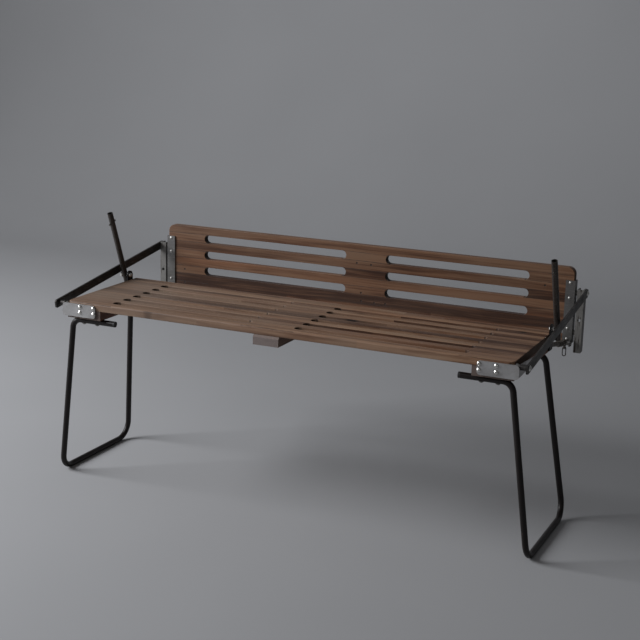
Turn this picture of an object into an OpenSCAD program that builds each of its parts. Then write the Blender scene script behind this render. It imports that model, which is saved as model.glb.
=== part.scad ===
// Slatted wooden bench with a folding back, on two bent-tube legs.
// Millimetres. X runs along the bench, -Y is the sitter's side, Z is up and 0 is the floor.
// The origin is on the floor, at the middle of the whole bench's box.

/* [Boards] */
// Length of the seat and of the back
bench_len = 1110; // [980:10:1340]
// Height of the seat's top above the floor
seat_top = 450; // [400:5:560]
// Thickness of every slat
board_t = 18; // [15:0.5:22]
// Width of a full slat between two slots
slat_w = 22; // [18:0.5:27]
// Width of a slot
slot_w = 21.6; // [18:0.4:26]
// Width of the seat's front slat
front_slat_w = 23.5; // [20:0.5:30]
// Width of the seat's rear slat
rear_slat_w = 42; // [36:1:50]
// Width of the back's top slat
top_slat_w = 20; // [18:0.5:30]
// Width of the back's bottom board
bottom_board_w = 52; // [50:1:62]
// From a board's end to the tip of its outer slots
end_block = 110; // [96:1:130]
// Width of the solid part between the two groups of slots
mid_block = 109; // [90:1:130]
// How far that solid part stands off the middle of the bench
mid_shift = 20; // [0:1:30]
// Rounding of the seat's front edge
nose_r = 5; // [3:0.5:7]
// Radius of the seat's front corners
front_corner_r = 14; // [10:0.5:17.5]
// Radius of the back's top corners
corner_r = 17; // [10:0.5:17.5]

/* [Back place] */
// From the seat's front edge to the back's front face
back_setback = 472; // [455:1:560]
// Top of the back above the seat's top
back_rise = 117; // [100:1:135]

/* [Battens] */
// Depth of the three battens under the boards
batten_t = 23; // [20:1:30]
// Width of the two end battens
end_batten_w = 92; // [86:1:100]
// Width of the middle batten
mid_batten_w = 64; // [50:1:80]
// How far the middle batten stands out in front of the seat
batten_nose = 4; // [2:0.5:8]
// Height of the bevel on that end
nose_bevel = 5; // [3:0.5:8]

/* [Front plates] */
// Length of a front plate
plate_len = 92; // [84:1:100]
// Height of a front plate
plate_h = 31.5; // [30:0.5:38]
// Thickness of the plates and flanges
plate_t = 3; // [2.5:0.5:4]
// How far a front plate stands out past the board's end
plate_over = 12; // [12:0.5:16]
// Length of the flange that carries the stay
flange_len = 125; // [110:1:140]

/* [Stays] */
// Width of the flat stay
stay_w = 20; // [18:1:22]
// Thickness of the flat stay
stay_t = 4; // [3:0.5:5]
// Diameter of the stay bolts
stay_bolt_d = 8; // [6:0.5:9]

/* [Wall channels] */
// Height of a wall channel
channel_h = 154; // [150:1:165]
// Width of a wall channel
channel_w = 17; // [16:0.5:17]
// Depth of a wall channel
channel_d = 22; // [20:0.5:24]
// Diameter of the fixing hole in a channel
fixing_d = 8; // [6:0.5:9]

/* [Posts] */
// Outer diameter of a post
post_d = 14; // [13:0.5:14.5]
// Bore of a post
post_bore = 10; // [8:0.5:10.5]
// Bore of the socket in a post's top
socket_d = 11; // [10.6:0.2:11.4]
// Depth of that socket
socket_deep = 22; // [15:1:24]
// Length of a post
post_len = 208; // [190:1:250]
// Lean of a post towards the sitter, in degrees
post_lean = 21.6; // [15:0.2:28]
// Height of the post's pivot above the seat's top
post_pivot_rise = 11; // [10:0.5:14]

/* [Legs] */
// Outer diameter of the leg tube
leg_d = 14; // [12:0.5:18]
// Wall of the leg tube
leg_wall = 2; // [1.5:0.25:3]
// How far a foot stands out past the board's end
leg_splay = 45; // [30:1:60]
// How far the rear foot stands behind the rear stub
leg_kick = 61; // [40:1:80]
// Bend radius of the leg at the floor
foot_bend_r = 38; // [28:1:50]
// Bend radius of the leg under the seat
top_bend_r = 24; // [20:1:30]

/* [Fits] */
// Gap all round a fastener in its hole
fit_gap = 0.05; // [0.03:0.01:0.1]
// Gap between pieces that turn past each other
turn_gap = 0.3; // [0.3:0.1:0.6]

/* [Hidden] */
$fn = 48;
eps = 0.01;

// Boards: places along Y for the seat and along Z for the back
half_len = bench_len / 2;
seat_rows = 6;
back_rows = 3;
row_pitch = slat_w + slot_w;
seat_depth = front_slat_w + seat_rows * slot_w + (seat_rows - 1) * slat_w + rear_slat_w;
seat_under = seat_top - board_t;
batten_under = seat_under - batten_t;
back_top = seat_top + back_rise;
back_h = top_slat_w + back_rows * slot_w + (back_rows - 1) * slat_w + bottom_board_w;
back_bottom = back_top - back_h;
slot_r = slot_w / 2;
tip_t = 0.6;

// Whole depth, from the stay's nose to the channel's rear edge
stay_pivot_in = 7;
stay_nose = 15;
channel_lead = 2;
channel_front = back_setback - channel_lead;
whole_depth = channel_front + channel_d + stay_nose - stay_pivot_in;
front_y = stay_nose - stay_pivot_in - whole_depth / 2;
back_y = front_y + back_setback;

// Layers along X at each end, from the boards outwards
flange_out = plate_over - 2;
flange_x = half_len + flange_out - plate_t;
plate_gap = 0.5;
leaf_x = half_len + plate_gap;
channel_gap = 9;
channel_x = half_len + channel_gap;
stay_gap = 1;
stay_x = channel_x + channel_w + stay_gap;
post_gap = 8.5;
post_x = half_len + post_gap + post_d / 2;

// Links: round rods from the end battens back to the pins on which the back turns
pin_d = 6;
pin_ahead = 12.5;
pin_down = 0.2;
pin_y = back_y - pin_ahead;
pin_z = back_bottom - pin_down;
pin_head_d = 11;
pin_head_t = 3;
pin_nut_d = 10;
pin_nut_t = 2;
link_inset = 10;
link_x = half_len - link_inset;
link_d = 11;
link_in = 55;
link_cover = 1;
link_start_y = front_y + seat_depth - link_in;
link_start_z = seat_under - link_d / 2 - link_cover;
link_tip_t = 4;
link_tip_r = 8;
link_flat = 12;
link_collar_d = 16;
link_collar_t = 5;
link_collars = [40, 60];
lug_r = 8;
batten_inset = 1;
batten_rear = front_y + seat_depth - batten_inset;

// Stay: from its front pivot to the bolt that hooks in the channel
stay_front_y = front_y + stay_pivot_in;
stay_pivot_down = 10;
stay_front_z = seat_top - stay_pivot_down;
channel_down = 51;
channel_top = back_top - channel_down;
hook_in = 12;
hook_down = 9;
stay_hook_y = front_y + channel_front + hook_in;
stay_hook_z = channel_top - hook_down;
stay_run = stay_hook_y - stay_front_y;
stay_lift = stay_hook_z - stay_front_z;
stay_len = sqrt(stay_run * stay_run + stay_lift * stay_lift);
stay_angle = atan2(stay_lift, stay_run);
hook_angle = 20;
hook_gap = 0.9;
hook_step = 0.3;
stay_nose_r = 5;
stay_nut_w = 13;
stay_nut_t = 5;
top_nut_w = 12;
stay_dome_r = 6.5;
stay_dome_h = 4;
spacer_d = 13;

// Post and the ear that carries it
ear_w = 24;
ear_t = 4;
ear_in = 278;
ear_y = front_y + ear_in;
ear_up = 3;
post_pivot_z = seat_top + post_pivot_rise;
post_below = 26;
post_bolt_d = 8;
post_bolt_head_r = 6.5;
post_bolt_head_h = 5;
post_washer_d = 12;
post_nut_w = 13;
post_nut_t = 4;
post_play = 0.5;
cross_pin_d = 5;
cross_pin_len = 26;
cross_pin_down = 27;
post_hole_d = 7;
post_hole_down = 78;

// Wire loop, which hangs in the lower hole of a link's tip
eye_d = 6.5;
eye_rim = 3;
eye_down = 9;
eye_z = pin_z - eye_down;
wire_d = 2.4;
loop_r = 4;
loop_len = 14;
loop_drop = 1.2;

// Legs
leg_stub_in = 120;
leg_knee_in = 6;
leg_front_in = 16;
leg_rear_in = 270;
leg_front_y = front_y + leg_front_in;
leg_rear_y = front_y + leg_rear_in;
leg_front_kick = 14;
stub_z = batten_under - leg_d / 2;
bend_lap = 0.5;
bend_thin = 0.05;
cap_head = 5;
cap_plug = 12;

// Fasteners
bolt_d = 6;
dome_r = 5.5;
dome_h = 3.6;
low_dome_h = 3.2;
screw_d = 4;
screw_head_d = 8;
screw_head_t = 3;

// ---- shared shapes ----

// The same piece at the right end (1) or mirrored to the left end (-1)
module at_end(side) {
    mirror([side < 0 ? 1 : 0, 0, 0]) children();
}

// The same piece at both ends
module both_ends() {
    for (side = [-1, 1]) at_end(side) children();
}

// Round bar from one point to another
module bar(from, to, d) {
    run = to - from;
    len = norm(run);
    translate(from)
        rotate([0, acos(run[2] / len), atan2(run[1], run[0])])
            cylinder(h = len, d = d);
}

// Round bar along X
module bar_x(x1, x2, y, z, d) {
    translate([x1, y, z]) rotate([0, 90, 0]) cylinder(h = x2 - x1, d = d);
}

// Rectangle with four rounded corners, from the corner at the origin
module soft_rect(w, h, r) {
    translate([r, 0]) square([w - 2 * r, h]);
    translate([0, r]) square([w, h - 2 * r]);
    for (x = [r, w - r], y = [r, h - r]) translate([x, y]) circle(r = r);
}

// Domed head that stands on the plane Z = 0
module dome(r, h) {
    ball = (r * r + h * h) / (2 * h);
    intersection() {
        translate([0, 0, h - ball]) sphere(r = ball);
        cylinder(h = h, r = r);
    }
}

// ---- boards ----

function seat_row_y(row) = front_y + front_slat_w + slot_r + row * row_pitch;
function back_row_z(row) = back_top - top_slat_w - slot_r - row * row_pitch;

// Filler block between two slats, with a hollow round end that closes the slot
module end_filler(side) {
    inner = half_len - end_block - slot_r;
    difference() {
        translate([side > 0 ? inner : -half_len, -slot_r, 0])
            cube([end_block + slot_r, slot_w, board_t]);
        translate([side * inner, 0, -eps])
            cylinder(h = board_t + 2 * eps, r = slot_r - tip_t);
    }
}

module middle_filler(shift) {
    difference() {
        translate([shift - mid_block / 2 - slot_r, -slot_r, 0])
            cube([mid_block + 2 * slot_r, slot_w, board_t]);
        for (side = [-1, 1])
            translate([shift + side * (mid_block / 2 + slot_r), 0, -eps])
                cylinder(h = board_t + 2 * eps, r = slot_r - tip_t);
    }
}

// Turns a flat piece drawn from the seat's underside up against the back's front face
module stand_up() {
    translate([0, back_y + board_t, 0]) rotate([90, 0, 0]) children();
}

// Screws that hold the boards to the battens: along X, then at every second slat
end_screws_in = [20, 55];
mid_screws_off = 20;
screw_xs = [
    -half_len + end_screws_in[0], -half_len + end_screws_in[1],
    -mid_shift - mid_screws_off, -mid_shift + mid_screws_off,
    half_len - end_screws_in[1], half_len - end_screws_in[0]
];
screw_into = 10;
front_screw_back = 3;
function screw_y(step) = step == 0 ? front_y + front_slat_w / 2 + front_screw_back
    : step == 3 ? front_y + seat_depth - rear_slat_w / 2
    : seat_row_y(2 * step) - row_pitch / 2;

module board_screw_holes() {
    for (x = screw_xs, step = [0:3])
        translate([x, screw_y(step), batten_under - eps])
            cylinder(h = batten_t + screw_into + fit_gap + eps, d = screw_d + 2 * fit_gap);
}

// Front plate bolts: two across, one above in the slat and one below in the batten
plate_inner = half_len + plate_over - plate_len;
plate_down = 5;
plate_top = seat_top - plate_down;
front_bolts_in = [5, 43];
front_bolts_down = [7, 21];
front_bolt_xs = [for (along = front_bolts_in) plate_inner + along];
front_bolt_zs = [for (down = front_bolts_down) plate_top - down];
front_bolt_len = 22;
plate_corner_r = 8;
flange_lip = 3;
flange_neck_top = 14;
flange_neck_drop = 2;
flange_neck_low = 18;
flange_end_drop = 10;
flange_end_rise = 8;

module front_bolt_holes() {
    both_ends() for (x = front_bolt_xs, z = front_bolt_zs)
        translate([x, front_y + front_bolt_len + fit_gap, z]) rotate([90, 0, 0])
            cylinder(h = front_bolt_len + plate_t + 1, d = bolt_d + 2 * fit_gap);
}

module seat_front_slat() {
    color("#9a6b4a") difference() {
        translate([-half_len, front_y, seat_under]) rotate([90, 0, 90])
            linear_extrude(bench_len) {
                translate([nose_r, 0]) square([front_slat_w - nose_r, board_t]);
                square([nose_r + eps, board_t - nose_r]);
                translate([nose_r, board_t - nose_r]) circle(r = nose_r);
            }
        both_ends() difference() {
            translate([half_len - front_corner_r, front_y - eps, seat_under - eps])
                cube([front_corner_r + eps, front_corner_r + eps, board_t + 2 * eps]);
            translate([half_len - front_corner_r, front_y + front_corner_r, seat_under - 2 * eps])
                cylinder(h = board_t + 4 * eps, r = front_corner_r);
        }
        board_screw_holes();
        front_bolt_holes();
    }
}

module seat_middle_slats() {
    color("#a37452") difference() {
        for (row = [0:seat_rows - 2])
            translate([-half_len, seat_row_y(row) + slot_r, seat_under])
                cube([bench_len, slat_w, board_t]);
        board_screw_holes();
    }
}

module seat_rear_slat() {
    color("#9a6b4a") difference() {
        translate([-half_len, front_y + seat_depth - rear_slat_w, seat_under])
            cube([bench_len, rear_slat_w, board_t]);
        board_screw_holes();
        ear_screw_holes();
    }
}

module seat_end_blocks() {
    color("#8f6042") for (row = [0:seat_rows - 1], side = [-1, 1])
        translate([0, seat_row_y(row), seat_under]) end_filler(side);
}

module seat_middle_blocks() {
    color("#8f6042") for (row = [0:seat_rows - 1])
        translate([0, seat_row_y(row), seat_under]) middle_filler(-mid_shift);
}

module back_top_slat() {
    low = back_top - top_slat_w;
    color("#8a5a40") stand_up() difference() {
        translate([-half_len, low, 0]) cube([bench_len, top_slat_w, board_t]);
        for (side = [-1, 1]) difference() {
            translate([side > 0 ? half_len - corner_r : -half_len - eps, back_top - corner_r, -eps])
                cube([corner_r + eps, corner_r + eps, board_t + 2 * eps]);
            translate([side * (half_len - corner_r), back_top - corner_r, -2 * eps])
                cylinder(h = board_t + 4 * eps, r = corner_r);
        }
        back_screw_holes_flat();
    }
}

module back_middle_slats() {
    color("#8a5a40") stand_up() difference() {
        for (row = [0:back_rows - 2])
            translate([-half_len, back_row_z(row) - slot_r - slat_w, 0])
                cube([bench_len, slat_w, board_t]);
        back_screw_holes_flat();
    }
}

module back_bottom_board() {
    color("#8a5a40") stand_up() difference() {
        translate([-half_len, back_bottom, 0]) cube([bench_len, bottom_board_w, board_t]);
        back_screw_holes_flat();
    }
}

module back_end_blocks() {
    color("#7d5039") stand_up() difference() {
        for (row = [0:back_rows - 1], side = [-1, 1])
            translate([0, back_row_z(row), 0]) end_filler(side);
        back_screw_holes_flat();
    }
}

module back_middle_blocks() {
    color("#7d5039") stand_up() for (row = [0:back_rows - 1])
        translate([0, back_row_z(row), 0]) middle_filler(mid_shift);
}

// ---- battens ----

module end_batten() {
    translate([half_len - end_batten_w, front_y + batten_inset, batten_under])
        cube([end_batten_w, batten_rear - front_y - batten_inset, batten_t]);
}

module batten_cuts() {
    board_screw_holes();
    for (x = screw_xs, step = [0:3])
        translate([x, screw_y(step), batten_under - eps])
            cylinder(h = screw_head_t + eps, d = screw_head_d + 2 * fit_gap);
    front_bolt_holes();
    leg_bolt_holes();
    ear_screw_holes();
    both_ends() link_rod(link_d + 2 * fit_gap, fit_gap);
}

module batten(side) {
    color("#84583c") difference() {
        at_end(side) end_batten();
        batten_cuts();
    }
}

// The middle batten stands out in front, where its top edge is bevelled
module batten_middle() {
    nose_y = front_y - batten_nose;
    color("#8b5f42") difference() {
        translate([-mid_shift - mid_batten_w / 2, 0, 0]) rotate([90, 0, 90])
            linear_extrude(mid_batten_w) polygon([
                [nose_y, batten_under], [batten_rear, batten_under], [batten_rear, seat_under],
                [front_y, seat_under], [nose_y, seat_under - nose_bevel]
            ]);
        batten_cuts();
    }
}

module batten_screws() {
    color("#6f6d68") for (x = screw_xs, step = [0:3]) {
        translate([x, screw_y(step), batten_under])
            cylinder(h = batten_t + screw_into, d = screw_d);
        translate([x, screw_y(step), batten_under])
            cylinder(h = screw_head_t, d = screw_head_d);
    }
}

// ---- front plates ----

module front_plate(side) {
    plate_low = plate_top - plate_h;
    color("#8d8d89") at_end(side) difference() {
        union() {
            translate([plate_inner, front_y, plate_low]) rotate([90, 0, 0])
                linear_extrude(plate_t) soft_rect(plate_len, plate_h, plate_corner_r);
            translate([flange_x, front_y - plate_t / 2, 0]) rotate([90, 0, 90])
                linear_extrude(plate_t) polygon([
                    [0, plate_low + flange_lip], [0, plate_top - flange_lip],
                    [flange_neck_top, plate_top - flange_neck_drop],
                    [flange_len, plate_top - flange_end_drop], [flange_len, plate_low + flange_end_rise],
                    [flange_neck_low, plate_low + flange_lip]
                ]);
        }
        front_bolt_holes();
        bar_x(flange_x - 1, flange_x + plate_t + 1, stay_front_y, stay_front_z, stay_bolt_d + 2 * fit_gap);
    }
}

module front_plate_bolts() {
    color("#d4d4d0") both_ends() for (x = front_bolt_xs, z = front_bolt_zs)
        translate([x, front_y - plate_t, z]) rotate([90, 0, 0]) {
            dome(dome_r, dome_h);
            translate([0, 0, -front_bolt_len - plate_t])
                cylinder(h = front_bolt_len + plate_t + dome_h / 2, d = bolt_d);
        }
}

// ---- legs: one bent tube at each end, held up against the batten ----

// One tangent bend between two straight runs of the tube
module tube_bend(corner, before, after, r, d) {
    way_in = (corner - before) / norm(corner - before);
    way_out = (after - corner) / norm(after - corner);
    turn = acos(way_in * way_out);
    start = corner - way_in * r * tan(turn / 2);
    side = way_out - (way_out * way_in) * way_in;
    inward = side / norm(side);
    centre = start + inward * r;
    u = -inward;
    w = cross(u, way_in);
    multmatrix([
        [u[0], way_in[0], w[0], centre[0]],
        [u[1], way_in[1], w[1], centre[1]],
        [u[2], way_in[2], w[2], centre[2]],
        [0, 0, 0, 1]
    ])
        rotate_extrude(angle = turn) translate([r, 0]) circle(d = d);
}

// How far a bend reaches along each run from its corner
function bend_reach(corner, before, after, r) =
    r * tan(acos((corner - before) * (after - corner) / norm(corner - before) / norm(after - corner)) / 2);

leg_points = [
    [half_len - leg_stub_in, leg_front_y, stub_z],
    [half_len - leg_knee_in, leg_front_y, stub_z],
    [half_len + leg_splay, leg_front_y + leg_front_kick, leg_d / 2],
    [half_len + leg_splay, leg_rear_y + leg_kick, leg_d / 2],
    [half_len - leg_knee_in, leg_rear_y, stub_z],
    [half_len - leg_stub_in, leg_rear_y, stub_z]
];
leg_bends = [0, top_bend_r, foot_bend_r, foot_bend_r, top_bend_r, 0];

// The leg's whole run. A bend is a hair thinner than the straight runs, which lap over its ends,
// and the two open ends can run on past their points.
module leg_path(d, past_end) {
    last = len(leg_points) - 1;
    reach = [for (i = [0:last])
        i == 0 || i == last ? 0
            : bend_reach(leg_points[i], leg_points[i - 1], leg_points[i + 1], leg_bends[i])];
    for (i = [0:last - 1]) {
        run = leg_points[i + 1] - leg_points[i];
        way = run / norm(run);
        start = reach[i] - (i == 0 ? past_end : bend_lap);
        end = reach[i + 1] - (i == last - 1 ? past_end : bend_lap);
        bar(leg_points[i] + way * start, leg_points[i + 1] - way * end, d);
    }
    for (i = [1:last - 1])
        tube_bend(leg_points[i], leg_points[i - 1], leg_points[i + 1], leg_bends[i], d - 2 * bend_thin);
}

leg_bolts_in = [74, 37];
leg_bolt_xs = [for (in = leg_bolts_in) half_len - in];
leg_bolt_up = 10;

module leg_bolt_places() {
    both_ends() for (x = leg_bolt_xs, y = [leg_front_y, leg_rear_y])
        translate([x, y, stub_z - leg_d / 2]) children();
}

module leg_bolt_holes() {
    leg_bolt_places() translate([0, 0, -1])
        cylinder(h = leg_d + leg_bolt_up + 1 + fit_gap, d = bolt_d + 2 * fit_gap);
}

module leg(side) {
    color("#2f2723") difference() {
        at_end(side) difference() {
            leg_path(leg_d, 0);
            leg_path(leg_d - 2 * leg_wall, 1);
        }
        leg_bolt_holes();
    }
}

module leg_bolts() {
    color("#4a4642") leg_bolt_places() {
        cylinder(h = leg_d + leg_bolt_up, d = bolt_d);
        mirror([0, 0, 1]) dome(dome_r, low_dome_h);
    }
}

// Cap pressed over and into each open end of a leg
module leg_caps() {
    color("#161514") both_ends() for (y = [leg_front_y, leg_rear_y]) {
        end_x = half_len - leg_stub_in;
        bar_x(end_x - cap_head, end_x, y, stub_z, leg_d);
        bar_x(end_x - eps, end_x + cap_plug, y, stub_z, leg_d - 2 * leg_wall - 2 * fit_gap);
    }
}

// ---- ears, posts and their bolts ----

module post_bolt_bore(x1, x2) {
    bar_x(x1, x2, ear_y, post_pivot_z, post_bolt_d + 2 * fit_gap);
}

ear_screws_off = 7;
ear_screw_ys = [ear_y - ear_screws_off, ear_y + ear_screws_off];
ear_screw_z = seat_under + board_t / 2;
ear_screw_len = 16;
ear_screw_head_h = 2;

module ear_screw_holes() {
    both_ends() for (y = ear_screw_ys)
        bar_x(half_len - ear_screw_len - fit_gap, half_len + ear_t + 1, y, ear_screw_z,
            screw_d + 2 * fit_gap);
}

module ear(side) {
    ear_low = batten_under + ear_up;
    color("#262321") difference() {
        at_end(side) difference() {
            union() {
                translate([half_len, ear_y - ear_w / 2, ear_low])
                    cube([ear_t, ear_w, post_pivot_z - ear_low]);
                bar_x(half_len, half_len + ear_t, ear_y, post_pivot_z, ear_w);
            }
            post_bolt_bore(half_len - 1, half_len + ear_t + 1);
        }
        ear_screw_holes();
    }
}

module ear_screws() {
    color("#5c5a56") both_ends() for (y = ear_screw_ys) {
        bar_x(half_len - ear_screw_len, half_len + ear_t + eps, y, ear_screw_z, screw_d);
        translate([half_len + ear_t, y, ear_screw_z]) rotate([0, 90, 0])
            dome(screw_head_d / 2, ear_screw_head_h);
    }
}

module post_pivot_bolts() {
    nut_x = post_x + post_d / 2 + post_play;
    color("#c9c9c4") both_ends() {
        bar_x(half_len - post_bolt_head_h / 2, nut_x + post_nut_t, ear_y, post_pivot_z, post_bolt_d);
        translate([half_len, ear_y, post_pivot_z]) rotate([0, -90, 0])
            dome(post_bolt_head_r, post_bolt_head_h);
        bar_x(half_len + ear_t, post_x - post_d / 2 - post_play, ear_y, post_pivot_z, post_washer_d);
        translate([nut_x, ear_y, post_pivot_z]) rotate([0, 90, 0])
            cylinder(h = post_nut_t, d = post_nut_w, $fn = 6);
    }
}

// Places a piece in the post's own frame: Z along the tube, 0 at the pivot
module post_frame() {
    translate([post_x, ear_y, post_pivot_z]) rotate([post_lean, 0, 0]) children();
}

module post(side) {
    up = post_len - post_below;
    color("#55524d") at_end(side) post_frame() difference() {
        translate([0, 0, -post_below]) cylinder(h = post_len, d = post_d);
        translate([0, 0, -post_below - 1]) cylinder(h = post_len + 2, d = post_bore);
        translate([0, 0, up - socket_deep]) cylinder(h = socket_deep + 1, d = socket_d);
        translate([-post_d, 0, 0]) rotate([0, 90, 0])
            cylinder(h = 2 * post_d, d = post_bolt_d + 2 * fit_gap);
        translate([0, post_d, up - cross_pin_down]) rotate([90, 0, 0])
            cylinder(h = 2 * post_d, d = cross_pin_d + 2 * fit_gap);
        translate([-post_d, 0, up - post_hole_down]) rotate([0, 90, 0])
            cylinder(h = 2 * post_d, d = post_hole_d);
    }
}

module post_cross_pin(side) {
    color("#8a8781") at_end(side) post_frame()
        translate([0, cross_pin_len / 2, post_len - post_below - cross_pin_down]) rotate([90, 0, 0])
            cylinder(h = cross_pin_len, d = cross_pin_d);
}

// ---- links from the seat to the back, their pins, and the wire loops ----

link_run = [0, pin_y - link_start_y, pin_z - link_start_z];
link_way = link_run / norm(link_run);

// The round rod of a link, with its inner end longer by past and its outer end at the tip
module link_rod(d, past) {
    start = [link_x, link_start_y, link_start_z];
    bar(start - link_way * past, start + link_way * (norm(link_run) - link_tip_r / 2), d);
}

module link(side) {
    tip_x = link_x - link_tip_t / 2;
    color("#5e5b56") at_end(side) difference() {
        union() {
            difference() {
                link_rod(link_d, 0);
                translate([link_x, pin_y, pin_z]) for (edge = [-1, 1])
                    translate([edge > 0 ? link_tip_t / 2 : -link_d - link_tip_t / 2, -link_flat, -link_d])
                        cube([link_d, 2 * link_flat, 2 * link_d]);
            }
            for (back = link_collars) {
                middle = [link_x, pin_y, pin_z] - link_way * back;
                half_collar = link_way * link_collar_t / 2;
                bar(middle - half_collar, middle + half_collar, link_collar_d);
            }
            bar_x(tip_x, tip_x + link_tip_t, pin_y, pin_z, 2 * link_tip_r);
            bar_x(tip_x, tip_x + link_tip_t, pin_y, eye_z, eye_d + 2 * eye_rim);
            translate([tip_x, pin_y - eye_d / 2 - eye_rim + bend_thin, eye_z])
                cube([link_tip_t, eye_d + 2 * eye_rim - 2 * bend_thin, pin_z - eye_z]);
        }
        bar_x(tip_x - 1, tip_x + link_tip_t + 1, pin_y, pin_z, pin_d + 2 * fit_gap);
        bar_x(tip_x - 1, tip_x + link_tip_t + 1, pin_y, eye_z, eye_d);
    }
}

// Headed pins through the links' tips and the back plates' lugs
module link_pins() {
    inner = link_x - link_tip_t / 2 - turn_gap;
    outer = leaf_x + plate_t + turn_gap;
    color("#6b6862") both_ends() {
        bar_x(inner, outer, pin_y, pin_z, pin_d);
        bar_x(inner - pin_head_t, inner, pin_y, pin_z, pin_head_d);
        bar_x(link_x + link_tip_t / 2 + turn_gap, leaf_x - turn_gap, pin_y, pin_z, pin_nut_d);
        bar_x(outer, outer + pin_nut_t, pin_y, pin_z, pin_nut_d);
    }
}

// Loop bent from wire, which hangs in the hole below a link's tip
module wire_loop(side) {
    top_z = eye_z - loop_drop - loop_r;
    color("#3a3633") at_end(side) translate([link_x, pin_y, top_z]) {
        rotate([90, 0, 0]) rotate_extrude(angle = 180) translate([loop_r, 0]) circle(d = wire_d, $fn = 24);
        translate([0, 0, -loop_len]) rotate([-90, 0, 0])
            rotate_extrude(angle = 180) translate([loop_r, 0]) circle(d = wire_d, $fn = 24);
        for (x = [-loop_r, loop_r])
            translate([x, 0, -loop_len]) cylinder(h = loop_len, d = wire_d, $fn = 24);
    }
}

// ---- stays ----

module stay_frame() {
    translate([stay_x, stay_front_y, stay_front_z]) rotate([stay_angle, 0, 0]) children();
}

module stay(side) {
    color("#4d4a46") at_end(side) stay_frame() difference() {
        union() {
            translate([0, -stay_nose + stay_nose_r, -stay_w / 2])
                cube([stay_t, stay_len + stay_nose - stay_nose_r, stay_w]);
            translate([0, -stay_nose, -stay_w / 2 + stay_nose_r])
                cube([stay_t, stay_nose, stay_w - 2 * stay_nose_r]);
            for (z = [-1, 1])
                bar_x(0, stay_t, -stay_nose + stay_nose_r, z * (stay_w / 2 - stay_nose_r), 2 * stay_nose_r);
            bar_x(0, stay_t, stay_len, 0, stay_w);
        }
        bar_x(-1, stay_t + 1, 0, 0, stay_bolt_d + 2 * fit_gap);
        bar_x(-1, stay_t + 1, stay_len, 0, stay_bolt_d + 2 * fit_gap);
    }
}

module stay_spacers() {
    color("#3c3936") both_ends() difference() {
        bar_x(flange_x + plate_t, stay_x - turn_gap, stay_front_y, stay_front_z, spacer_d);
        bar_x(flange_x, stay_x + 1, stay_front_y, stay_front_z, stay_bolt_d + 2 * fit_gap);
    }
}

module stay_front_bolts() {
    color("#c4c4bf") both_ends() {
        bar_x(flange_x - stay_nut_t, stay_x + stay_t + 1, stay_front_y, stay_front_z, stay_bolt_d);
        translate([stay_x + stay_t + turn_gap, stay_front_y, stay_front_z]) rotate([0, 90, 0])
            dome(stay_dome_r, stay_dome_h);
        translate([flange_x - stay_nut_t, stay_front_y, stay_front_z]) rotate([0, 90, 0])
            cylinder(h = stay_nut_t, d = stay_nut_w, $fn = 6);
    }
}

module stay_top_bolt(side) {
    head_x = channel_x + channel_w - plate_t - turn_gap;
    color("#c4c4bf") at_end(side) stay_frame() translate([-stay_x, stay_len, 0]) {
        bar_x(head_x - stay_nut_t, stay_x + stay_t + 1, 0, 0, stay_bolt_d);
        translate([head_x - stay_nut_t, 0, 0]) rotate([0, 90, 0])
            cylinder(h = stay_nut_t, d = top_nut_w, $fn = 6);
        translate([stay_x + stay_t, 0, 0]) rotate([0, 90, 0]) dome(stay_dome_r, stay_dome_h);
    }
}

// ---- back plates and wall channels ----

back_plate_under = 3;
back_plate_down = 31;
back_plate_low = back_bottom - back_plate_under;
back_plate_top = back_top - back_plate_down;
back_plate_w = 23;
back_screw_in = 8;
back_screw_x = half_len - back_screw_in;
back_screws_down = [37, 74, 148];
back_screw_up = 7;
back_screw_len = 14;
back_screw_head_h = 1.6;

// The four screws of a back plate, in the flat frame of stand_up
module back_screw_places() {
    for (down = back_screws_down) translate([back_screw_x, back_top - down, board_t]) children();
    translate([back_screw_x, back_bottom + back_screw_up, board_t]) children();
}

module back_screw_holes_flat() {
    both_ends() back_screw_places() translate([0, 0, -back_screw_len])
        cylinder(h = back_screw_len + 1, d = screw_d + 2 * fit_gap);
}

rivet_up = 22;
rivet_down = 62;
rivet_in = 10;
rivet_zs = [back_bottom + rivet_up, back_top - rivet_down];
rivet_y = back_y + rivet_in;
rivet_spacer_d = 12;
rivet_head_d = 11;
rivet_head_t = 3;

module rivet_bores() {
    for (z = rivet_zs) bar_x(half_len, channel_x + plate_t + 1, rivet_y, z, bolt_d + 2 * fit_gap);
}

module back_plate(side) {
    plate_out = leaf_x + plate_t;
    height = back_plate_top - back_plate_low;
    color("#77756f") at_end(side) difference() {
        union() {
            translate([plate_out - back_plate_w, back_y - plate_t, back_plate_low])
                cube([back_plate_w, plate_t, height]);
            translate([leaf_x, back_y - plate_t, back_plate_low])
                cube([plate_t, plate_t + board_t, height]);
            bar_x(leaf_x, leaf_x + plate_t, pin_y, pin_z, 2 * lug_r);
            translate([leaf_x, pin_y, pin_z - lug_r]) cube([plate_t, back_y - pin_y, 2 * lug_r]);
        }
        bar_x(leaf_x - 1, leaf_x + plate_t + 1, pin_y, pin_z, pin_d + 2 * fit_gap);
        rivet_bores();
        stand_up() back_screw_places() translate([0, 0, -1])
            cylinder(h = plate_t + 2, d = screw_d + 2 * fit_gap);
    }
}

module back_plate_screws() {
    color("#a19e98") stand_up() both_ends() back_screw_places() {
        translate([0, 0, -back_screw_len + fit_gap]) cylinder(h = back_screw_len + plate_t, d = screw_d);
        translate([0, 0, plate_t]) dome(screw_head_d / 2, back_screw_head_h);
    }
}

fixing_down = 8;
fixing_z = seat_top - fixing_down;

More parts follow.
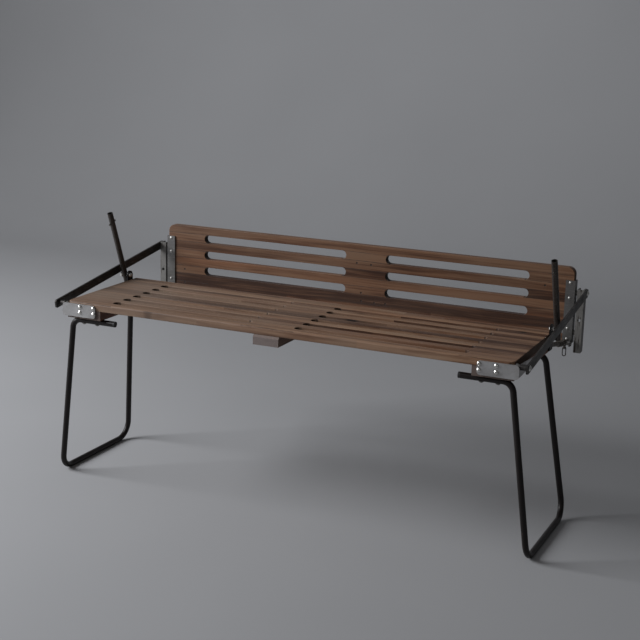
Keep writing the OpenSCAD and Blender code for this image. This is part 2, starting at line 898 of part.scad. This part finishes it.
// Upright channel, open to the rear, with a hook slot for the stay's bolt
module channel(side) {
    low = channel_top - channel_h;
    y1 = front_y + channel_front;
    slot_d = stay_bolt_d + 2 * hook_gap;
    color("#a5a29b") at_end(side) difference() {
        translate([channel_x, y1, low]) cube([channel_w, channel_d, channel_h]);
        translate([channel_x + plate_t, y1 + plate_t, low - 1])
            cube([channel_w - 2 * plate_t, channel_d, channel_h + 2]);
        translate([channel_x + channel_w / 2, y1 + plate_t + 1, fixing_z]) rotate([90, 0, 0])
            cylinder(h = plate_t + 2, d = fixing_d);
        bar_x(channel_x + channel_w - plate_t - 1, channel_x + channel_w + 1,
            stay_hook_y, stay_hook_z, slot_d);
        translate([channel_x + channel_w - plate_t - 1, stay_hook_y, stay_hook_z]) rotate([-hook_angle, 0, 0])
            translate([0, 0, (hook_step - slot_d) / 2])
                cube([plate_t + 2, channel_d, slot_d - hook_step]);
        rivet_bores();
    }
}

module channel_rivets() {
    color("#6a6761") both_ends() for (z = rivet_zs) {
        bar_x(leaf_x, channel_x + plate_t + rivet_head_t / 2, rivet_y, z, bolt_d);
        bar_x(leaf_x + plate_t, channel_x, rivet_y, z, rivet_spacer_d);
        bar_x(channel_x + plate_t, channel_x + plate_t + rivet_head_t, rivet_y, z, rivet_head_d);
    }
}

// ---- nodes ----

seat_front_slat();
seat_middle_slats();
seat_rear_slat();
seat_end_blocks();
seat_middle_blocks();
batten(-1);  // batten_left
batten_middle();
batten(1);  // batten_right
batten_screws();
front_plate(-1);  // front_plate_left
front_plate(1);  // front_plate_right
front_plate_bolts();
leg(-1);  // leg_left
leg(1);  // leg_right
leg_bolts();
leg_caps();
ear(-1);  // ear_left
ear(1);  // ear_right
ear_screws();
post_pivot_bolts();
post(-1);  // post_left
post(1);  // post_right
post_cross_pin(-1);  // post_cross_pin_left
post_cross_pin(1);  // post_cross_pin_right
link(-1);  // link_left
link(1);  // link_right
link_pins();
wire_loop(-1);  // wire_loop_left
wire_loop(1);  // wire_loop_right
stay(-1);  // stay_left
stay(1);  // stay_right
stay_front_bolts();
stay_spacers();
stay_top_bolt(-1);  // stay_top_bolt_left
stay_top_bolt(1);  // stay_top_bolt_right
back_top_slat();
back_middle_slats();
back_bottom_board();
back_end_blocks();
back_middle_blocks();
back_plate(-1);  // back_plate_left
back_plate(1);  // back_plate_right
back_plate_screws();
channel(-1);  // channel_left
channel(1);  // channel_right
channel_rivets();
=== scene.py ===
import math

import bmesh
import bpy
from mathutils import Matrix, Vector, noise


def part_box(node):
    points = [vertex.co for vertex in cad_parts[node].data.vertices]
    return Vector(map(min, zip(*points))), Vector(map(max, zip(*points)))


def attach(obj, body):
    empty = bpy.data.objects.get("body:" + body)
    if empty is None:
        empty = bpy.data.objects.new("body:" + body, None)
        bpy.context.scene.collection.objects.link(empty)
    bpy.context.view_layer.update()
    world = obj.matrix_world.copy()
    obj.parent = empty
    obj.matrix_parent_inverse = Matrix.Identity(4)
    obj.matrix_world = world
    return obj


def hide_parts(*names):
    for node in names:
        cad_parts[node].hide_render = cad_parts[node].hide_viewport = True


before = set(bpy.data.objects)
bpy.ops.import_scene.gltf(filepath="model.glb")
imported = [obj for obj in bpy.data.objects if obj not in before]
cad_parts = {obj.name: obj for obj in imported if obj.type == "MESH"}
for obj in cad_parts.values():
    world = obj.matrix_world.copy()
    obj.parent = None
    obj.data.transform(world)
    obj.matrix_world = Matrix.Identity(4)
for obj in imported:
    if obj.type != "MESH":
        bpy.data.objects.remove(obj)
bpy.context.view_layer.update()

# ---- Camera ----
# A short telephoto view from the bench's right-hand front, a little above the back, looking down
# and to the left.
eye = Vector((1.2907, -2.8497, 1.1862))
turned_left, tipped_down, tilted = math.radians(24.34), math.radians(13.77), math.radians(1.51)
ahead = Vector((-math.sin(turned_left) * math.cos(tipped_down),
                math.cos(turned_left) * math.cos(tipped_down), -math.sin(tipped_down)))
level = Vector((math.cos(turned_left), math.sin(turned_left), 0))
upright = level.cross(ahead)
across_view = level * math.cos(tilted) + upright * math.sin(tilted)
up_view = upright * math.cos(tilted) - level * math.sin(tilted)
lens = bpy.data.cameras.new("camera")
lens.sensor_width = 36
lens.lens = 75.54
lens.clip_end = 60
camera = bpy.data.objects.new("camera", lens)
bpy.context.scene.collection.objects.link(camera)
camera.matrix_world = Matrix.Translation(eye) @ Matrix((across_view, up_view, -ahead)).transposed().to_4x4()
bpy.context.scene.camera = camera


# ---- Floor and light ----
# A pale floor that sweeps up behind the bench, a large soft light from the left, as from a window,
# and a weak one from the front right.
class Value:
    """A value in a finish: the operators add the maths nodes that work it out."""

    def __init__(self, finish, socket):
        self.finish, self.socket = finish, socket

    def maths(self, step, *others):
        return self.finish.node("ShaderNodeMath", {"operation": step}, [self, *others])

    def before(self, step, first):
        return self.finish.node("ShaderNodeMath", {"operation": step}, [first, self])

    def __add__(self, other): return self.maths("ADD", other)
    def __sub__(self, other): return self.maths("SUBTRACT", other)
    def __mul__(self, other): return self.maths("MULTIPLY", other)
    def __truediv__(self, other): return self.maths("DIVIDE", other)
    def __pow__(self, other): return self.maths("POWER", other)
    def __lt__(self, other): return self.maths("LESS_THAN", other)
    def __gt__(self, other): return self.maths("GREATER_THAN", other)
    def __rsub__(self, other): return self.before("SUBTRACT", other)
    def __rtruediv__(self, other): return self.before("DIVIDE", other)
    def __abs__(self): return self.maths("ABSOLUTE")
    def __floor__(self): return self.maths("FLOOR")
    __radd__, __rmul__ = __add__, __mul__

    def least(self, other): return self.maths("MINIMUM", other)
    def most(self, other): return self.maths("MAXIMUM", other)

    def fade(self, low, high, start=0, end=1):
        """From start to end as the value goes from low to high."""
        return self.finish.node("ShaderNodeMapRange", {}, [self, low, high, start, end])


class Finish:
    """One material under construction."""

    def __init__(self, name):
        self.material = bpy.data.materials.new(name)
        self.material.use_nodes = True
        self.tree = self.material.node_tree
        self.tree.nodes.clear()
        self.place = self.node("ShaderNodeTexCoord", out="Object")
        self.x, self.y, self.z = (self.node("ShaderNodeSeparateXYZ", {}, [self.place], out=i)
                                  for i in range(3))

    def node(self, kind, settings={}, inputs={}, out=0):
        made = self.tree.nodes.new(kind)
        for name, value in settings.items():
            if name == "stops":
                ramp = made.color_ramp.elements
                while len(ramp) < len(value):
                    ramp.new(0.5)
                for stop, (at, colour) in zip(ramp, value):
                    stop.position, stop.color = at, (*colour, 1)
            else:
                setattr(made, name, value)
        for name, value in (inputs.items() if isinstance(inputs, dict) else enumerate(inputs)):
            if isinstance(value, Value):
                self.tree.links.new(value.socket, made.inputs[name])
            else:
                made.inputs[name].default_value = value
        return Value(self, made.outputs[out])

    def point(self, x, y, z):
        return self.node("ShaderNodeCombineXYZ", {}, [x, y, z])

    def grain(self, at, size=1.0, detail=3.0, rough=0.55, warp=0.0):
        """Soft noise from 0 to 1 whose lumps are about 1 / size metres wide."""
        return self.node("ShaderNodeTexNoise", {}, {"Vector": at, "Scale": size, "Detail": detail,
                                                    "Roughness": rough, "Distortion": warp})

    def blend(self, share, first, second, how="MIX"):
        return self.node("ShaderNodeMix", {"data_type": "RGBA", "blend_type": how},
                         {0: share, 6: first, 7: second}, out=2)

    def surface(self, colour, roughness, height=None, depth=0.0005, strength=0.5, **uniform):
        """Closes the finish: what varies is linked, what is the same all over is set on its socket."""
        inputs = {"Base Color": colour, "Roughness": roughness, **uniform}
        if height is not None:
            inputs["Normal"] = self.node("ShaderNodeBump", {}, {"Strength": strength, "Distance": depth,
                                                               "Height": height})
        shader = self.node("ShaderNodeBsdfPrincipled", {}, inputs)
        end = self.tree.nodes.new("ShaderNodeOutputMaterial")
        self.tree.links.new(shader.socket, end.inputs["Surface"])
        return self.material


def studio_paint():
    f = Finish("studio_floor")
    cloud = f.grain(f.place, 1.3, 2)
    return f.surface(f.blend(cloud, (0.36, 0.36, 0.365, 1), (0.40, 0.40, 0.405, 1)), 0.75)


floor_half, floor_front, sweep_start, sweep_r, wall_top = 7.0, -6.0, 2.2, 1.6, 5.0
profile = [(floor_front, 0.0), (sweep_start, 0.0)]
profile += [(sweep_start + sweep_r * math.sin(a), sweep_r - sweep_r * math.cos(a))
            for a in (math.pi / 2 * i / 24 for i in range(1, 25))]
profile.append((sweep_start + sweep_r, wall_top))
floor_mesh = bpy.data.meshes.new("studio_floor")
floor_mesh.from_pydata([(x, y, z) for y, z in profile for x in (-floor_half, floor_half)], [],
                       [(2 * i, 2 * i + 1, 2 * i + 3, 2 * i + 2) for i in range(len(profile) - 1)])
floor_mesh.shade_smooth()
floor_mesh.materials.append(studio_paint())
studio_floor = bpy.data.objects.new("studio_floor", floor_mesh)
bpy.context.scene.collection.objects.link(studio_floor)


def soft_light(name, place, aim, width, height, watts, colour):
    lamp = bpy.data.lights.new(name, "AREA")
    lamp.shape, lamp.size, lamp.size_y, lamp.energy, lamp.color = "RECTANGLE", width, height, watts, colour
    holder = bpy.data.objects.new(name, lamp)
    bpy.context.scene.collection.objects.link(holder)
    holder.location = place
    holder.rotation_euler = (Vector(aim) - Vector(place)).to_track_quat("-Z", "Y").to_euler()


soft_light("window", (-3.4, -1.5, 2.2), (0, 0, 0.4), 2.0, 2.4, 205, (0.94, 0.96, 1.0))
soft_light("front_fill", (1.4, -3.8, 2.6), (0, 0, 0.4), 2.4, 1.6, 7, (1.0, 0.98, 0.95))
world = bpy.data.worlds.new("studio")
world.use_nodes = True
world.node_tree.nodes["Background"].inputs["Color"].default_value = (0.82, 0.84, 0.88, 1)
world.node_tree.nodes["Background"].inputs["Strength"].default_value = 0.10
bpy.context.scene.world = world
bpy.context.scene.view_settings.view_transform = "Standard"


# ---- Seat ----
# Hardwood slats with filler blocks glued between them at the ends and the middle, which leaves
# round-ended slots. Planed flush, edges eased, oiled and worn, with a painted sheen that greys the
# wood towards its left end. Screwed down to the battens.
seat_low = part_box("seat_front_slat")[0]
seat_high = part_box("seat_rear_slat")[1]
slot_width, slat_width, front_slat = 0.0216, 0.022, 0.0235
row_pitch = slot_width + slat_width
end_block, middle_block, middle_shift = 0.110, 0.109, 0.020
half_length, slot_walls, block_reach = 0.555, 0.545, 0.012
edge_wear, under_edge = 0.35, 0.0014


def eased_panel(name, outline, slots, thick, stand):
    """A flat panel with slots whose edges are rounded over. Each loop is a list of (u, v, radius),
    with the wood on its left, and stand turns (u, v, height) into a place in the room."""
    arc = 4
    mesh = bmesh.new()
    places, normals, caps = [], [], {True: [], False: []}
    for loop in [outline, *slots]:
        count = len(loop)
        rings = []
        for top in (True, False):
            for step in range(arc + 1):
                turn = math.pi / 2 * (step if top else arc - step) / arc
                ring = []
                for i, (u, v, radius) in enumerate(loop):
                    before, after = loop[i - 1], loop[(i + 1) % count]
                    way_in = Vector((u - before[0], v - before[1])).normalized()
                    way_out = Vector((after[0] - u, after[1] - v)).normalized()
                    out = Vector((way_in.y + way_out.y, -way_in.x - way_out.x)).normalized()
                    if top:
                        r = radius * (1 + edge_wear * noise.noise(Vector((u * 40, v * 40, 3))))
                    else:
                        r = min(radius, under_edge)
                    inset = r * (1 - math.sin(turn))
                    drop = r * (1 - math.cos(turn))
                    height = thick - drop if top else drop
                    lean = 1 if top else -1
                    ring.append(mesh.verts.new(stand(u - out.x * inset, v - out.y * inset, height)))
                    way = stand(out.x * math.sin(turn), out.y * math.sin(turn), lean * math.cos(turn))
                    normals.append((Vector(way) - Vector(stand(0, 0, 0))).normalized())
                rings.append(ring)
        for low, high in zip(rings, rings[1:]):
            for i in range(count):
                j = (i + 1) % count
                mesh.faces.new((high[i], high[j], low[j], low[i]))
        for top, ring in ((True, rings[0]), (False, rings[-1])):
            caps[top] += [mesh.edges.get((ring[i], ring[(i + 1) % count])) for i in range(count)]
    for top in (True, False):
        way = Vector(stand(0, 0, 1 if top else -1)) - Vector(stand(0, 0, 0))
        bmesh.ops.triangle_fill(mesh, use_beauty=True, use_dissolve=False, edges=caps[top], normal=way)
    made = bpy.data.meshes.new(name)
    mesh.to_mesh(made)
    mesh.free()
    made.shade_smooth()
    made.normals_split_custom_set_from_vertices(normals)
    panel = bpy.data.objects.new(name, made)
    bpy.context.scene.collection.objects.link(panel)
    return panel


def straight(start, end, radius, pace=0.02):
    """Points from start up to, but not at, end."""
    length = math.dist(start, end)
    count = max(1, round(length / pace))
    return [(start[0] + (end[0] - start[0]) * i / count, start[1] + (end[1] - start[1]) * i / count, radius)
            for i in range(count)]


def rounded(centre, r, start, end, radius, count=8):
    """Points round a corner or a slot's end, in degrees, up to but not at the end angle."""
    return [(centre[0] + r * math.cos(math.radians(start + (end - start) * i / count)),
             centre[1] + r * math.sin(math.radians(start + (end - start) * i / count)), radius)
            for i in range(count)]


def slot_loop(u1, u2, v, edge):
    """A round-ended slot from tip to tip, clockwise, so the wood is on its left."""
    r = slot_width / 2
    a, b = u1 + r, u2 - r
    return (straight((b, v - r), (a, v - r), edge) + rounded((a, v), r, 270, 90, edge, 12)
            + straight((a, v + r), (b, v + r), edge) + rounded((b, v), r, 90, -90, edge, 12))


def board_outline(u1, v1, u2, v2, corners, edges):
    """A rectangle, counter-clockwise from its lower left corner, with a corner radius for each
    corner and an edge radius for each side."""
    loop = []
    ends = [(u1, v1), (u2, v1), (u2, v2), (u1, v2)]
    inward = [(1, 1), (-1, 1), (-1, -1), (1, -1)]
    for i in range(4):
        j = (i + 1) % 4
        r, s = corners[i], corners[j]
        centre = (ends[i][0] + inward[i][0] * r, ends[i][1] + inward[i][1] * r)
        loop += rounded(centre, r, 180 + 90 * i, 270 + 90 * i, (edges[i - 1] + edges[i]) / 2, 6)
        way = (Vector(ends[j]) - Vector(ends[i])).normalized()
        loop += straight(Vector(ends[i]) + way * r, Vector(ends[j]) - way * s, edges[i])
    return loop


def timber(name, across, depth, rows, middle, pale=1.0, red=0.0, wear=0.5, painted_sheen=0.0,
           nails=(), knots=()):
    """Oiled hardwood with its grain along X. rows is where the first glue line lies and which way
    they go on. Each slat and each filler block gets its own tone. Nails and knots lie at
    (x, across). The wood can be greyed and lightened towards its left end as a painted sheen, the
    slots' round ends are painted near black as painted shade, and the end faces take dark end grain
    darkened further as painted shade."""
    f = Finish(name)
    side = {"y": f.y, "z": f.z}
    v, w = side[across], side[depth]
    first, sense = rows
    step = (v - first) * (sense / row_pitch)
    whole = math.floor(step)
    part = step - whole
    filler = part < slot_width / row_pitch
    board = whole * 2 - filler + math.floor(f.x * 2.5 + 0.5) * filler * 7.3
    near = abs(part).least(abs(part - slot_width / row_pitch)).least(abs(1 - part)) * row_pitch
    blocks = (abs(f.x) > half_length - end_block - block_reach).most(
        abs(f.x - middle) < middle_block / 2 + block_reach)
    seam = near.fade(0.0002, 0.0008, 1, 0) * blocks * f.grain(f.place, 60, 1).fade(0.3, 0.6, 0.35, 1)
    own = f.node("ShaderNodeTexWhiteNoise", {"noise_dimensions": "1D"}, {"W": board + 3.7})
    wander = f.grain(f.point(f.x * 2.2, v * 9 + board * 5.1, w * 9), 1, 2)
    va = v + (wander - 0.5) * 0.022
    bands = f.grain(f.point(f.x * 3.0 + board * 11.0, va * 95, w * 60), 1, 3, 0.6)
    rings = f.grain(f.point(f.x * 5.0 + board * 17.0, va * 300, w * 160), 1, 4, 0.65, 0.3)
    fibre = f.grain(f.point(f.x * 26.0, va * 1500, w * 1100), 1, 2, 0.6)
    patch = f.grain(f.point(f.x * 3.5, v * 14, w * 8), 1, 3)

    knot_at = f.point(f.x * 4.3 + 0.37, v * 15 + board * 3.3, 0.0)
    knot_far = f.node("ShaderNodeTexVoronoi", {}, {"Vector": knot_at, "Scale": 1.0}, out="Distance")
    knot_own = f.node("ShaderNodeTexVoronoi", {}, {"Vector": knot_at, "Scale": 1.0}, out="Color")
    chosen = f.node("ShaderNodeSeparateColor", {}, [knot_own]) > 0.72
    knot = knot_far.fade(0.035, 0.085, 1, 0) * chosen
    halo = knot_far.fade(0.06, 0.26, 1, 0) * chosen
    for x, at in knots:
        far = ((f.x - x) * 0.6 * ((f.x - x) * 0.6) + (v - at) * (v - at)) ** 0.5 + (bands - 0.5) * 0.003
        knot, halo = knot.most(far.fade(0.0035, 0.0060, 1, 0)), halo.most(far.fade(0.005, 0.016, 1, 0))
    hole = seam * 0.0
    for x, at in nails:
        far = ((f.x - x) * (f.x - x) + (v - at) * (v - at)) ** 0.5
        hole = hole.most(far.fade(0.0016, 0.0030, 1, 0))
    split = (rings.fade(0.69, 0.75) * bands.fade(0.52, 0.6)
             * f.grain(f.point(f.x * 9, v * 40, 0.0), 1, 1).fade(0.52, 0.6))

    tone = (bands - 0.5) * 1.20 + (rings - 0.5) * 0.85 + (own - 0.5) * 0.55 + (patch - 0.5) * 0.55
    tone = tone + (fibre - 0.5) * 0.18 + 0.5 - halo * 0.16
    wood = f.node("ShaderNodeValToRGB", {"stops": [
        (0.20, (0.075 * pale, 0.036 * pale, 0.020 * pale)),
        (0.40, (0.165 * pale, 0.088 * pale, 0.050 * pale)),
        (0.55, (0.245 * pale, 0.143 * pale, 0.086 * pale)),
        (0.80, (0.365 * pale, 0.236 * pale, 0.150 * pale))]}, [tone])
    ruddy = f.grain(f.point(f.x * 1.7 + board * 4.0, v * 20, 0.0), 1, 2).fade(0.42, 0.66) * 0.45 + red
    wood = f.blend(ruddy.least(1.0), wood, (0.86, 0.60, 0.46, 1), "MULTIPLY")
    # Painted sheen: towards the left end the wood is mixed towards a pale grey-brown, standing in for a
    # reflection of the window; the patches and fibres mixed in with it are real wear.
    left_sheen = f.x.fade(0.15, -0.50)
    wear_and_sheen = (patch.fade(0.42, 0.66) * wear + fibre.fade(0.62, 0.8) * 0.15 + left_sheen * painted_sheen).least(1.0)
    wood = f.blend(wear_and_sheen * 0.85, wood, (0.215 * pale, 0.158 * pale, 0.120 * pale, 1))
    mark = knot.most(split * 0.75).most(seam * 0.85).most(hole)
    wood = f.blend(mark, wood, (0.016, 0.010, 0.007, 1))
    facing = f.node("ShaderNodeSeparateXYZ", {}, [f.node("ShaderNodeNewGeometry", out="True Normal")])
    # The end faces take darker end grain, painted darker still as painted shade on them.
    end_grain_and_shade = abs(facing).fade(0.75, 0.95)
    pores = f.grain(f.point(0.0, f.y * 420, f.z * 420), 1, 3, 0.6)
    end_wood = f.blend(pores, (0.030, 0.019, 0.013, 1), (0.115, 0.070, 0.045, 1))
    wood = f.blend(end_grain_and_shade, wood, end_wood)
    # Painted shade: the round end walls of the slots, inside the panel's ends, are painted near black.
    slot_end_shade = (abs(f.x) < slot_walls) * abs(facing).fade(0.30, 0.70) * 0.85
    wood = f.blend(slot_end_shade, wood, (0.014, 0.009, 0.006, 1))
    height = fibre * 0.25 + rings * 0.35 - mark * 1.2 - split * 0.6
    shine = 0.40 + fibre * 0.12 + wear_and_sheen * 0.13 + mark * 0.2 + end_grain_and_shade * 0.25
    return f.surface(wood, shine, height, 0.0006, 0.6, **{"Specular IOR Level": 0.30})


def slotted(low_u, high_u, first_v, rows, sense, shift, edge):
    """The two groups of slots in every row."""
    loops = []
    for row in range(rows):
        v = first_v + sense * (slot_width / 2 + row * row_pitch)
        loops.append(slot_loop(low_u + end_block, shift - middle_block / 2, v, edge))
        loops.append(slot_loop(shift + middle_block / 2, high_u - end_block, v, edge))
    return loops


seat_thick = seat_high.z - seat_low.z
seat_panel = eased_panel(
    "seat_panel",
    board_outline(seat_low.x, seat_low.y, seat_high.x, seat_high.y,
                  (0.014, 0.014, 0.002, 0.002), (0.0048, 0.0016, 0.0016, 0.0016)),
    slotted(seat_low.x, seat_high.x, seat_low.y + front_slat, 6, 1, -middle_shift, 0.0012),
    seat_thick, lambda u, v, w: (u, v, seat_low.z + w))
# The seat's wood gets a painted sheen that greys and lightens it towards its left end.
seat_panel.data.materials.append(
    timber("seat_timber", "y", "z", (seat_low.y + front_slat, 1), -middle_shift,
           pale=0.88, red=0.15, wear=0.40, painted_sheen=0.55,
           knots=((0.498, 0.017),)))
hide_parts("seat_front_slat", "seat_middle_slats", "seat_rear_slat", "seat_end_blocks",
            "seat_middle_blocks")
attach(seat_panel, "seat")

# ---- Back ----
# The same kind of slatted board stood on edge, with three rows of slots over a wide bottom board
# and round top corners. A redder, darker lot of the same wood.
back_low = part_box("back_bottom_board")[0]
back_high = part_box("back_top_slat")[1]
top_slat, back_corner = 0.020, 0.017
back_panel = eased_panel(
    "back_panel",
    board_outline(back_low.x, back_low.z, back_high.x, back_high.z,
                  (0.002, 0.002, back_corner, back_corner), (0.0014, 0.0014, 0.0016, 0.0014)),
    slotted(back_low.x, back_high.x, back_high.z - top_slat, 3, -1, middle_shift, 0.0012),
    back_high.y - back_low.y, lambda u, v, w: (u, back_high.y - w, v))
back_panel.data.materials.append(
    timber("back_timber", "z", "y", (back_high.z - top_slat, -1), middle_shift,
           pale=0.58, red=0.50, wear=0.16,
           nails=((-0.506, 0.449), (-0.506, 0.413), (-0.004, 0.519), (0.035, 0.518), (0.010, 0.443),
                  (0.011, 0.422), (0.047, 0.421), (0.077, 0.422), (0.485, 0.517))))
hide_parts("back_top_slat", "back_middle_slats", "back_bottom_board", "back_end_blocks",
            "back_middle_blocks")
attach(back_panel, "back")


# ---- Battens ----
# Three battens run from front to back under the seat. Their grain runs that way too, and their
# sawn front ends have weathered grey-brown.
def dress(material, *names):
    """The CAD pieces whose shape is right keep it and take this finish."""
    for name in names:
        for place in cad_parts[name].material_slots:
            place.material = material


def batten_timber(name, grey, red):
    f = Finish(name)
    wander = f.grain(f.point(f.x * 8, f.y * 3, f.z * 8), 1, 2)
    across = f.x + (wander - 0.5) * 0.02
    bands = f.grain(f.point(across * 120, f.y * 4, f.z * 120), 1, 3, 0.6)
    rings = f.grain(f.point(across * 420, f.y * 8, f.z * 420), 1, 3, 0.6)
    fibre = f.grain(f.point(f.x * 1500, f.y * 30, f.z * 1500), 1, 2)
    tone = bands * 0.5 + rings * 0.5
    wood = f.node("ShaderNodeValToRGB", {"stops": [
        (0.25, (0.045, 0.024, 0.016)), (0.50, (0.130, 0.072, 0.046)), (0.75, (0.230, 0.142, 0.096))]}, [tone])
    wood = f.blend(red, wood, (0.80, 0.52, 0.42, 1), "MULTIPLY")
    facing = f.node("ShaderNodeSeparateXYZ", {}, [f.node("ShaderNodeNewGeometry", out="True Normal")], out=1)
    sawn = abs(facing).fade(0.55, 0.9)
    pores = f.grain(f.point(f.x * 300, 0.0, f.z * 420), 1, 4, 0.65)
    curve = f.grain(f.point(f.x * 22, 0.0, f.z * 75), 1, 2, 0.5, 1.5)
    end_wood = f.blend(pores * 0.7 + curve * 0.3,
                       (0.070 + 0.02 * grey, 0.048 + 0.02 * grey, 0.040 + 0.02 * grey, 1),
                       (0.17 + 0.10 * grey, 0.125 + 0.09 * grey, 0.105 + 0.09 * grey, 1))
    wood = f.blend(sawn, wood, end_wood)
    return f.surface(wood, 0.5 + fibre * 0.2 + sawn * 0.15,
                     fibre * 0.4 + rings * 0.3 + pores * sawn * 0.5, 0.0006, 0.6)


dress(batten_timber("middle_batten_timber", 1.0, 0.0), "batten_middle")
dress(batten_timber("end_batten_timber", 0.0, 0.8), "batten_left", "batten_right")


# ---- Front plates ----
# Steel plates across the ends of the seat's front, left bare: dull grey, mottled and scratched,
# with a little rust. The flange behind each carries a stay.
def steel(name, colour, stain, stained, shine, brushed=(60, 900, 900), metallic=0.9, rust=0.15,
          specks=0.0):
    """Bare or oiled steel: mottled grey, fine scratches one way, stains and a little rust."""
    f = Finish(name)
    mottle = f.grain(f.place, 38, 4, 0.6)
    cloud = f.grain(f.place, 11, 3, 0.6)
    scratch = f.grain(f.point(f.x * brushed[0], f.y * brushed[1], f.z * brushed[2]), 1, 2, 0.6)
    cell = f.node("ShaderNodeTexVoronoi", {}, {"Vector": f.place, "Scale": 260.0}, out="Distance")
    pit = cell.fade(0.10, 0.22, 1, 0) * f.grain(f.place, 55, 2).fade(0.5, 0.62)
    dirty = (cloud.fade(0.40, 0.68) * 0.75 + mottle.fade(0.45, 0.7) * 0.35).least(1.0) * stained
    base = f.blend(dirty, (*colour, 1), (*stain, 1))
    rusty = f.grain(f.place, 24, 4, 0.7).fade(0.60, 0.74) * rust
    base = f.blend(rusty, base, (0.12, 0.055, 0.028, 1))
    base = f.blend(scratch.fade(0.55, 0.8) * 0.25, base, (0.62, 0.61, 0.60, 1))
    if specks:
        base = f.blend(pit * specks, base, (0.04, 0.035, 0.03, 1))
    rough = shine + mottle * 0.16 + rusty * 0.3 + dirty * 0.12 - scratch * 0.08
    return f.surface(base, rough, scratch * 0.25 + mottle * 0.4 - pit * 0.5, 0.0004, 0.35,
                     Metallic=(rusty * -0.7 + metallic))


dress(steel("plate_steel", (0.58, 0.575, 0.575), (0.24, 0.225, 0.21), 0.8, 0.34, specks=0.5),
      "front_plate_left", "front_plate_right")

# ---- Bright bolts ----
# Zinc-plated domed bolts through the front plates, at both ends of the stays and in the posts'
# ears.
dress(steel("bright_zinc", (0.80, 0.79, 0.76), (0.50, 0.48, 0.44), 0.5, 0.14, (500, 500, 500), 1.0, 0.05),
      "front_plate_bolts", "post_pivot_bolts", "stay_front_bolts",
      "stay_top_bolt_left", "stay_top_bolt_right")


# ---- Legs and ears ----
# One bent steel tube at each end, painted dark brown, with black caps pressed into its open ends.
# The flat ears that carry the posts are painted black.
def old_paint(name, colour, worn, chips, shine):
    f = Finish(name)
    mottle = f.grain(f.place, 30, 3, 0.6)
    orange_peel = f.grain(f.place, 900, 2)
    chip = f.grain(f.place, 75, 5, 0.75).fade(0.66, 0.69) * f.grain(f.place, 9, 2).fade(0.45, 0.6) * chips
    rub = f.grain(f.point(f.x * 14, f.y * 14, f.z * 5), 1, 4, 0.65).fade(0.5, 0.75) * 0.5
    base = f.blend(mottle, (*[c * 0.75 for c in colour], 1), (*[c * 1.3 for c in colour], 1))
    base = f.blend(rub * worn, base, (*[c * 2.4 + 0.01 for c in colour], 1))
    base = f.blend(chip, base, (0.17, 0.10, 0.07, 1))
    return f.surface(base, shine + mottle * 0.12 + rub * 0.15 + chip * 0.2,
                     orange_peel * 0.2 - chip * 1.0, 0.0003, 0.4,
                     **{"Specular IOR Level": 0.3})


dress(old_paint("brown_black_paint", (0.0075, 0.0048, 0.0042), 0.6, 0.6, 0.33), "leg_left", "leg_right")
dress(old_paint("black_paint", (0.007, 0.006, 0.0055), 0.5, 0.8, 0.36), "ear_left", "ear_right")


def cap_plastic():
    f = Finish("cap_plastic")
    scuff = f.grain(f.place, 160, 3)
    return f.surface(f.blend(scuff, (0.006, 0.006, 0.006, 1), (0.018, 0.017, 0.017, 1)), 0.42 + scuff * 0.2,
                     scuff, 0.0002, 0.4)


dress(cap_plastic(), "leg_caps")

# ---- Posts, pins and links ----
# Open-topped tubes that lean towards the sitter, with a loose pin across each. Below them a round
# rod runs from each end batten back to the back's pivot, with a bent wire loop in the hole of its
# flattened tip. Dark bare steel.
dress(steel("dark_tube_steel", (0.075, 0.066, 0.059), (0.032, 0.026, 0.022), 0.9, 0.36,
            (900, 900, 60), 0.75, 0.35),
      "post_left", "post_right")
dress(steel("rod_steel", (0.15, 0.135, 0.12), (0.06, 0.05, 0.042), 0.9, 0.38, (900, 60, 900), 0.75, 0.45),
      "link_left", "link_right", "post_cross_pin_left", "post_cross_pin_right")
dress(steel("wire_steel", (0.055, 0.050, 0.047), (0.03, 0.026, 0.022), 0.8, 0.4, (900, 900, 60), 0.6, 0.3),
      "wire_loop_left", "wire_loop_right", "stay_spacers")

# ---- Stays ----
# Flat dark bars from the front plates up to the wall channels: dark mill-scale steel with fine
# scratches, stains, a little rust and pits.
dress(steel("stay_steel", (0.052, 0.047, 0.043), (0.022, 0.019, 0.017), 0.9, 0.36,
            (900, 40, 700), 0.6, 0.12, 0.3),
      "stay_left", "stay_right")


# ---- Wall channels ----
# Folded steel channels at the ends of the back, painted off-white and worn through in drips and
# runs to brown steel.
def channel_paint():
    f = Finish("channel_paint")
    cloud = f.grain(f.place, 26, 4, 0.65)
    runs = f.grain(f.point(f.x * 190, f.y * 190, f.z * 16), 1, 4, 0.65)
    worn = (runs.fade(0.52, 0.60) * cloud.fade(0.40, 0.56)).most(
        f.grain(f.place, 70, 4, 0.7).fade(0.62, 0.66))
    paint = f.blend(cloud, (0.10, 0.095, 0.088, 1), (0.24, 0.230, 0.215, 1))
    metal = f.blend(runs, (0.022, 0.018, 0.015, 1), (0.075, 0.062, 0.052, 1))
    return f.surface(f.blend(worn, paint, metal), 0.42 + worn * 0.18 + cloud * 0.1,
                     (1 - worn) * 0.8 + cloud * 0.3, 0.0004, 0.5, Metallic=worn * 0.5 + 0.25)


dress(channel_paint(), "channel_left", "channel_right")

# ---- Back plates ----
# Angle plates that tie the back's ends to the channels, dull grey steel with stains, each with
# four screws, and rivets on to the channel.
dress(steel("angle_steel", (0.22, 0.215, 0.21), (0.10, 0.095, 0.088), 0.9, 0.40, specks=0.6, rust=0.1),
      "back_plate_left", "back_plate_right")
dress(steel("dull_zinc", (0.36, 0.35, 0.33), (0.16, 0.15, 0.14), 0.8, 0.36, (500, 500, 500), 0.85, 0.2),
      "back_plate_screws", "channel_rivets", "ear_screws", "batten_screws", "leg_bolts", "link_pins")
